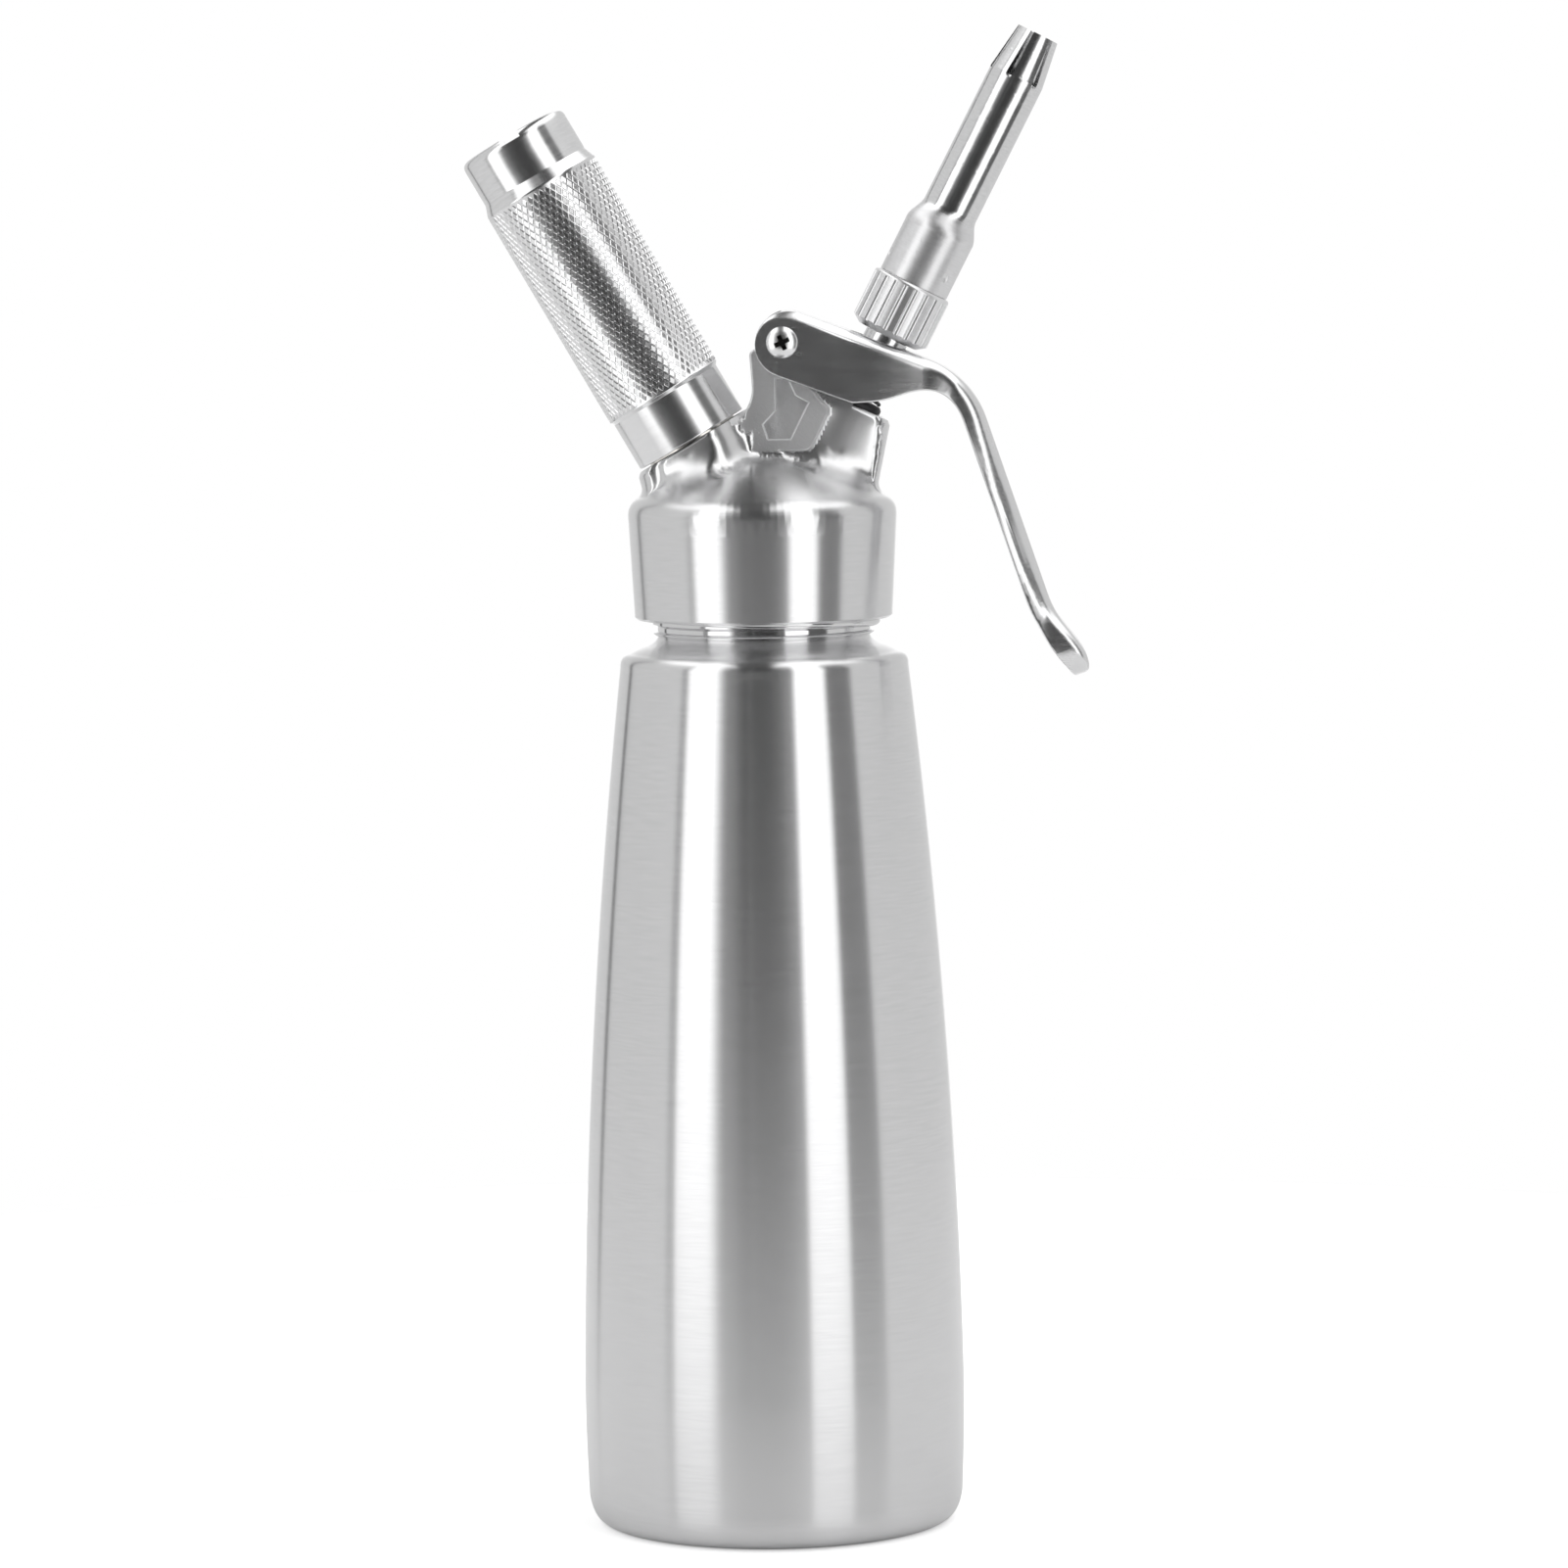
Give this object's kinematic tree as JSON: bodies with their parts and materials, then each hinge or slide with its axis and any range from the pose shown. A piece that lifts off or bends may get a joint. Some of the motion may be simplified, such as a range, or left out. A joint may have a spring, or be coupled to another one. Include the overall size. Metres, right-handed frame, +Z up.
{
  "type": "whipped cream dispenser",
  "caption": "Steel pressure bottle with a screw-on head: a squeeze lever pushes a hollow sprung valve that carries the star nozzle, and a knurled holder screws the gas charger in.",
  "frame": {"origin": "centre of the plane the bottle's foot ring stands on, on the bottle's axis", "axes": "+Z up along the bottle; +X towards the side the lever and the nozzle lean to, -X towards the charger holder; +Y square to the lever's plane, away from the screw head's side"},
  "size_m": [0.1302, 0.0806, 0.3156],
  "materials": {
    "bottle": "lathe-brushed stainless steel",
    "head": "cast stainless steel, turned and satin polished",
    "lever": "polished stainless steel",
    "lever_screw": "polished stainless steel, cross recess",
    "lever_sleeve_nut": "polished stainless steel",
    "valve_stem": "turned stainless steel",
    "valve_guide": "black acetal",
    "valve_spring": "drawn stainless wire",
    "stem_o_ring": "black rubber",
    "valve_seal": "red silicone",
    "seal_retainer": "turned stainless steel",
    "nozzle_nut": "fluted and satin stainless steel",
    "nozzle_seal": "clear silicone",
    "decorator_tip": "polished stainless steel",
    "charger_holder": "bright turned aluminium with a diamond knurl",
    "gas_charger": "zinc-plated steel",
    "pin_holder": "nickel-plated brass",
    "piercing_pin": "ground stainless steel",
    "charger_seal": "black rubber",
    "inlet_valve": "nickel-plated brass",
    "inlet_valve_seal": "black rubber",
    "inlet_valve_cap": "red silicone",
    "head_gasket": "red silicone"
  },
  "bodies": {
    "bottle": {"bottle": "bottle"},
    "gasket": {"head_gasket": "head_gasket"},
    "head": {"head": "head", "pin_holder": "pin_holder", "piercing_pin": "piercing_pin", "charger_seal": "charger_seal", "inlet_valve": "inlet_valve", "inlet_valve_seal": "inlet_valve_seal", "inlet_valve_cap": "inlet_valve_cap", "valve_guide": "valve_guide", "stem_o_ring": "stem_o_ring", "valve_spring": "valve_spring", "lever_screw": "lever_screw", "lever_sleeve_nut": "lever_sleeve_nut"},
    "lever": {"lever": "lever"},
    "stem": {"valve_stem": "valve_stem", "valve_seal": "valve_seal", "seal_retainer": "seal_retainer"},
    "charger": {"gas_charger": "gas_charger"},
    "holder": {"charger_holder": "charger_holder"},
    "nozzle_ring": {"nozzle_seal": "nozzle_seal"},
    "nozzle": {"nozzle_nut": "nozzle_nut", "decorator_tip": "decorator_tip"}
  },
  "joints": [
    {"name": "head_rise", "type": "slide", "parent": "bottle", "child": "gasket", "axis": [0, 0, 1], "range_m": [0, 0.012]},
    {"name": "head_turn", "type": "hinge", "parent": "gasket", "child": "head", "pos_m": [0, 0, 0.2], "axis": [0, 0, 1], "range_deg": [0, 1081]},
    {"name": "lever_squeeze", "type": "hinge", "parent": "head", "child": "lever", "pos_m": [0.0048, 0, 0.25015], "axis": [0, 1, 0], "range_deg": [0, 10.02], "stiffness_Nm_per_rad": 1.3, "springref_deg": -15.47},
    {"name": "stem_push", "type": "slide", "parent": "head", "child": "stem", "axis": [-0.4587, 0, -0.8886], "range_m": [0, 0.00318], "deforming": ["valve_spring"]},
    {"name": "charger_rise", "type": "slide", "parent": "head", "child": "charger", "axis": [-0.5, 0, 0.866], "range_m": [0, 0.009]},
    {"name": "holder_turn", "type": "hinge", "parent": "charger", "child": "holder", "pos_m": [-0.0147, 0, 0.22986], "axis": [-0.5, 0, 0.866], "range_deg": [0, 1621]},
    {"name": "nozzle_rise", "type": "slide", "parent": "stem", "child": "nozzle_ring", "axis": [0.4587, 0, 0.8886], "range_m": [0, 0.0075]},
    {"name": "nozzle_turn", "type": "hinge", "parent": "nozzle_ring", "child": "nozzle", "pos_m": [0.01954, 0, 0.23695], "axis": [0.4587, 0, 0.8886], "range_deg": [0, 1801]}
  ],
  "couplings": [
    {"joint": "head_turn", "follows": "head_rise", "rad_per_m": 1570.8},
    {"joint": "lever_squeeze", "follows": "stem_push", "rad_per_m": 54.945},
    {"joint": "holder_turn", "follows": "charger_rise", "rad_per_m": 3141.6},
    {"joint": "nozzle_turn", "follows": "nozzle_rise", "rad_per_m": 4188.8}
  ]
}
